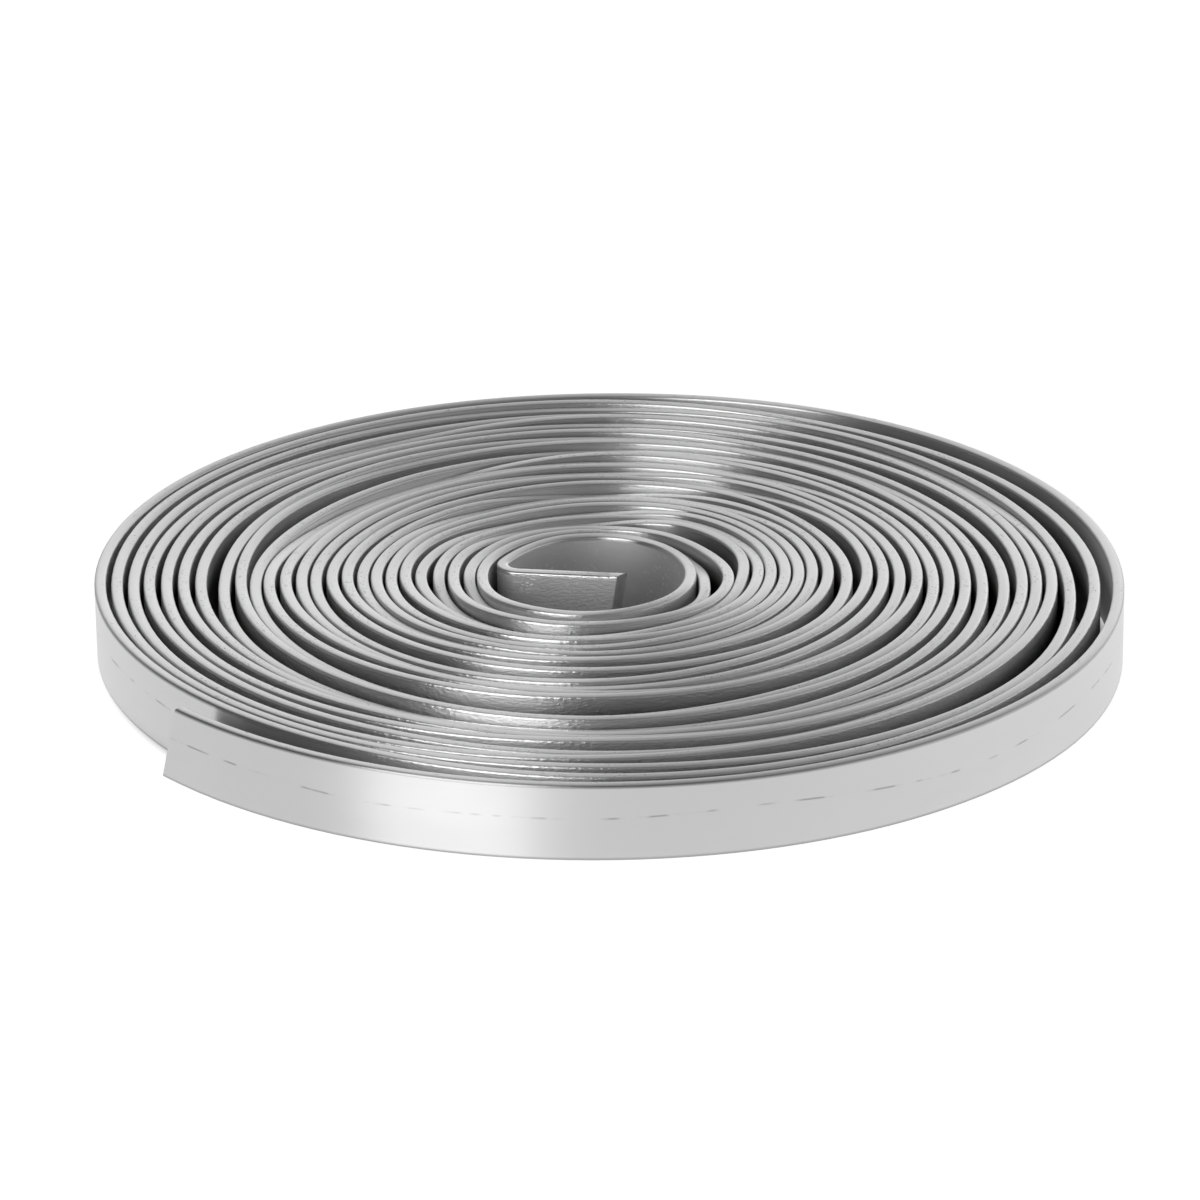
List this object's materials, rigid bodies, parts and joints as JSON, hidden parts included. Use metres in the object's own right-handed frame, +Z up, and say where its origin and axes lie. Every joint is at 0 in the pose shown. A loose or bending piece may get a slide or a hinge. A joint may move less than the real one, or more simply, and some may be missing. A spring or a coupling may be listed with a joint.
{
  "type": "aluminium strip coil",
  "caption": "Flat aluminium strip wound on edge into a loose flat coil, with an open eye, a folded inner end and a free outer tail.",
  "frame": {"origin": "middle of the coil's outline, on the floor that it lies on", "axes": "+Z up through the open eye and across the strip's width, -Y towards the side where the free tail leaves the coil, -X towards the side that the tail's end points to"},
  "size_m": [0.1308, 0.1326, 0.01],
  "materials": {
    "bare_aluminium": "mill finish, satin along its length, with fine rolling scratches and small nicks on the edges"
  },
  "bodies": {
    "root": {"aluminium_strip": "bare_aluminium"}
  },
  "joints": []
}
